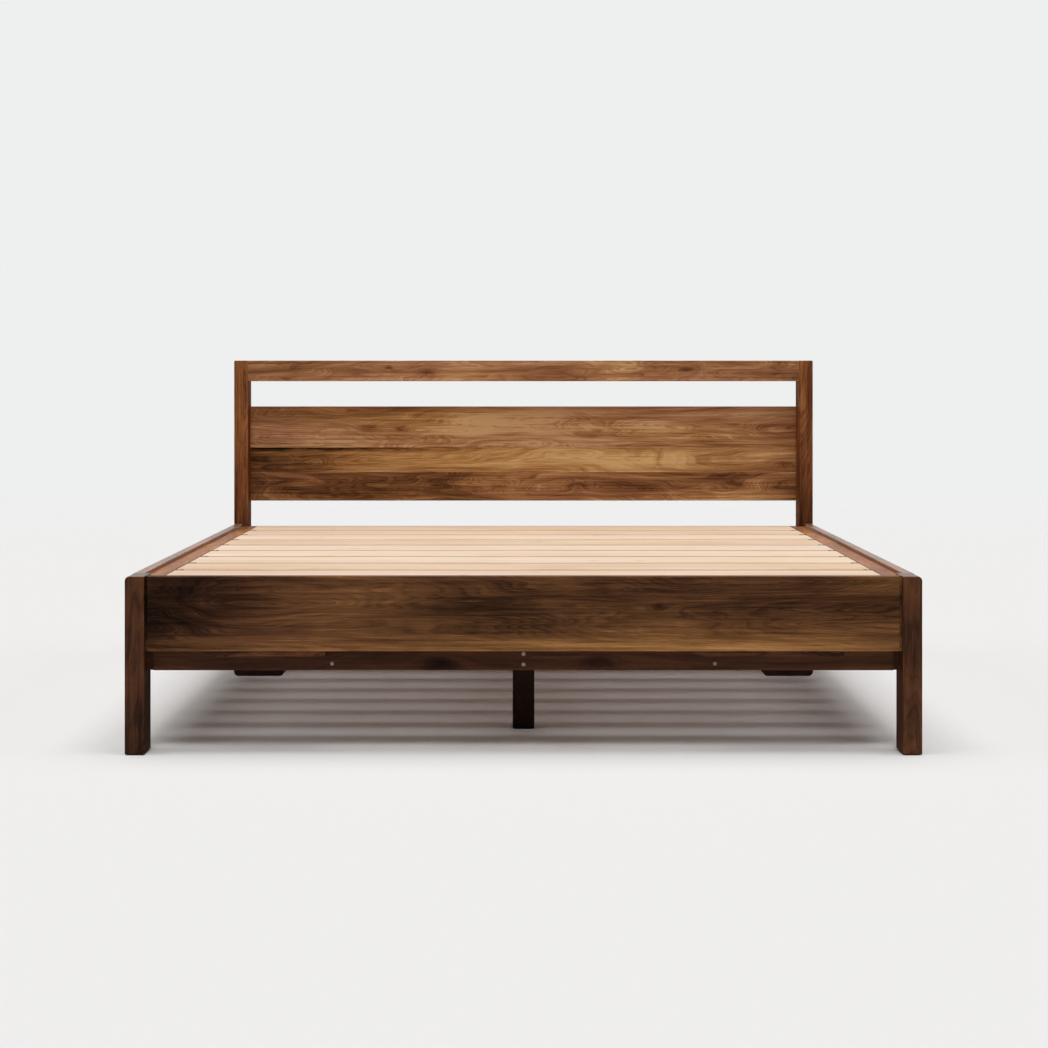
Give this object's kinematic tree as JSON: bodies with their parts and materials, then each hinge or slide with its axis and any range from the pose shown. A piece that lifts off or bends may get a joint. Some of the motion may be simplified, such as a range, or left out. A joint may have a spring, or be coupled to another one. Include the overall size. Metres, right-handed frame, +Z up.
{
  "type": "bed frame",
  "caption": "King-size platform bed frame in solid walnut with an open-topped panel headboard, a deep foot rail, loose slats, hook-on side rails and a centre beam on levelling legs.",
  "frame": {"origin": "middle of the footprint, on the floor", "axes": "+Y towards the headboard, +X to the right of someone standing at the foot end, +Z up"},
  "size_m": [2.05, 2.19, 1.0375],
  "materials": {
    "walnut_frame": "satin oiled walnut",
    "walnut_panel": "satin oiled walnut",
    "dark_walnut": "satin dark walnut",
    "walnut_ledgers": "matt walnut",
    "pine_slats": "bare planed pine",
    "pine_beam": "bare planed pine",
    "stained_centre_legs": "dark stained",
    "beech_joinery": "bare beech",
    "steel_fasteners": "zinc plated",
    "steel_brackets": "black powder coat",
    "black_plastic": "moulded"
  },
  "bodies": {
    "frame": {"beam_bracket_bolts": "steel_fasteners", "beam_bracket_foot": "steel_brackets", "beam_bracket_head": "steel_brackets", "beam_bracket_nuts": "steel_fasteners", "beam_bracket_screws": "steel_fasteners", "centre_beam": "pine_beam", "centre_leg_front": "stained_centre_legs", "centre_leg_inserts": "steel_fasteners", "centre_leg_rear": "stained_centre_legs", "centre_leg_screws": "steel_fasteners", "connector_plate_screws": "steel_fasteners", "foot_block_screws": "steel_fasteners", "foot_cleat_screws": "steel_fasteners", "foot_inner_rail": "dark_walnut", "foot_inner_rail_screws": "steel_fasteners", "foot_leg_left": "walnut_frame", "foot_leg_right": "walnut_frame", "foot_rail": "walnut_frame", "foot_rail_cleat_left": "walnut_frame", "foot_rail_cleat_right": "walnut_frame", "foot_support_block_left": "dark_walnut", "foot_support_block_right": "dark_walnut", "head_rail": "walnut_frame", "headboard_panel_lower_board": "walnut_panel", "headboard_panel_middle_board": "walnut_panel", "headboard_panel_screws": "steel_fasteners", "headboard_panel_splines": "beech_joinery", "headboard_panel_upper_board": "walnut_panel", "headboard_post_left": "walnut_frame", "headboard_post_right": "walnut_frame", "headboard_top_rail": "walnut_frame", "headboard_top_rail_dowels": "beech_joinery", "leg_glides": "black_plastic", "post_catch_plates": "steel_brackets", "rail_dowels": "beech_joinery", "rail_hook_plates": "steel_brackets", "side_rail_left": "walnut_frame", "side_rail_right": "walnut_frame", "slat_ledger_left": "walnut_ledgers", "slat_ledger_right": "walnut_ledgers", "slat_ledger_screws": "steel_fasteners", "slat_spacer_screws": "steel_fasteners", "slat_spacers_left": "walnut_ledgers", "slat_spacers_right": "walnut_ledgers"},
    "slat_01": {"slat_01": "pine_slats"},
    "slat_02": {"slat_02": "pine_slats"},
    "slat_03": {"slat_03": "pine_slats"},
    "slat_04": {"slat_04": "pine_slats"},
    "slat_05": {"slat_05": "pine_slats"},
    "slat_06": {"slat_06": "pine_slats"},
    "slat_07": {"slat_07": "pine_slats"},
    "slat_08": {"slat_08": "pine_slats"},
    "slat_09": {"slat_09": "pine_slats"},
    "levelling_foot_front_pad": {"levelling_foot_front_pad": "black_plastic"},
    "levelling_foot_front_stem": {"levelling_foot_front_stem": "steel_fasteners"},
    "levelling_foot_rear_pad": {"levelling_foot_rear_pad": "black_plastic"},
    "levelling_foot_rear_stem": {"levelling_foot_rear_stem": "steel_fasteners"}
  },
  "joints": [
    {"name": "slat_01_lift", "type": "slide", "parent": "frame", "child": "slat_01", "axis": [0, 0, 1], "range_m": [0, 0.15]},
    {"name": "slat_02_lift", "type": "slide", "parent": "frame", "child": "slat_02", "axis": [0, 0, 1], "range_m": [0, 0.15]},
    {"name": "slat_03_lift", "type": "slide", "parent": "frame", "child": "slat_03", "axis": [0, 0, 1], "range_m": [0, 0.15]},
    {"name": "slat_04_lift", "type": "slide", "parent": "frame", "child": "slat_04", "axis": [0, 0, 1], "range_m": [0, 0.15]},
    {"name": "slat_05_lift", "type": "slide", "parent": "frame", "child": "slat_05", "axis": [0, 0, 1], "range_m": [0, 0.15]},
    {"name": "slat_06_lift", "type": "slide", "parent": "frame", "child": "slat_06", "axis": [0, 0, 1], "range_m": [0, 0.15]},
    {"name": "slat_07_lift", "type": "slide", "parent": "frame", "child": "slat_07", "axis": [0, 0, 1], "range_m": [0, 0.15]},
    {"name": "slat_08_lift", "type": "slide", "parent": "frame", "child": "slat_08", "axis": [0, 0, 1], "range_m": [0, 0.15]},
    {"name": "slat_09_lift", "type": "slide", "parent": "frame", "child": "slat_09", "axis": [0, 0, 1], "range_m": [0, 0.15]},
    {"name": "front_foot_travel", "type": "slide", "parent": "frame", "child": "levelling_foot_front_pad", "axis": [0, 0, -1], "range_m": [0, 0.012]},
    {"name": "front_foot_turn", "type": "hinge", "parent": "levelling_foot_front_pad", "child": "levelling_foot_front_stem", "pos_m": [0, -0.64, 0.03], "axis": [0, 0, -1], "range_deg": [0, 2880]},
    {"name": "rear_foot_travel", "type": "slide", "parent": "frame", "child": "levelling_foot_rear_pad", "axis": [0, 0, -1], "range_m": [0, 0.012]},
    {"name": "rear_foot_turn", "type": "hinge", "parent": "levelling_foot_rear_pad", "child": "levelling_foot_rear_stem", "pos_m": [0, 0.64, 0.03], "axis": [0, 0, -1], "range_deg": [0, 2880]}
  ],
  "couplings": [
    {"joint": "front_foot_turn", "follows": "front_foot_travel", "rad_per_m": 4188.8},
    {"joint": "rear_foot_turn", "follows": "rear_foot_travel", "rad_per_m": 4188.8}
  ]
}
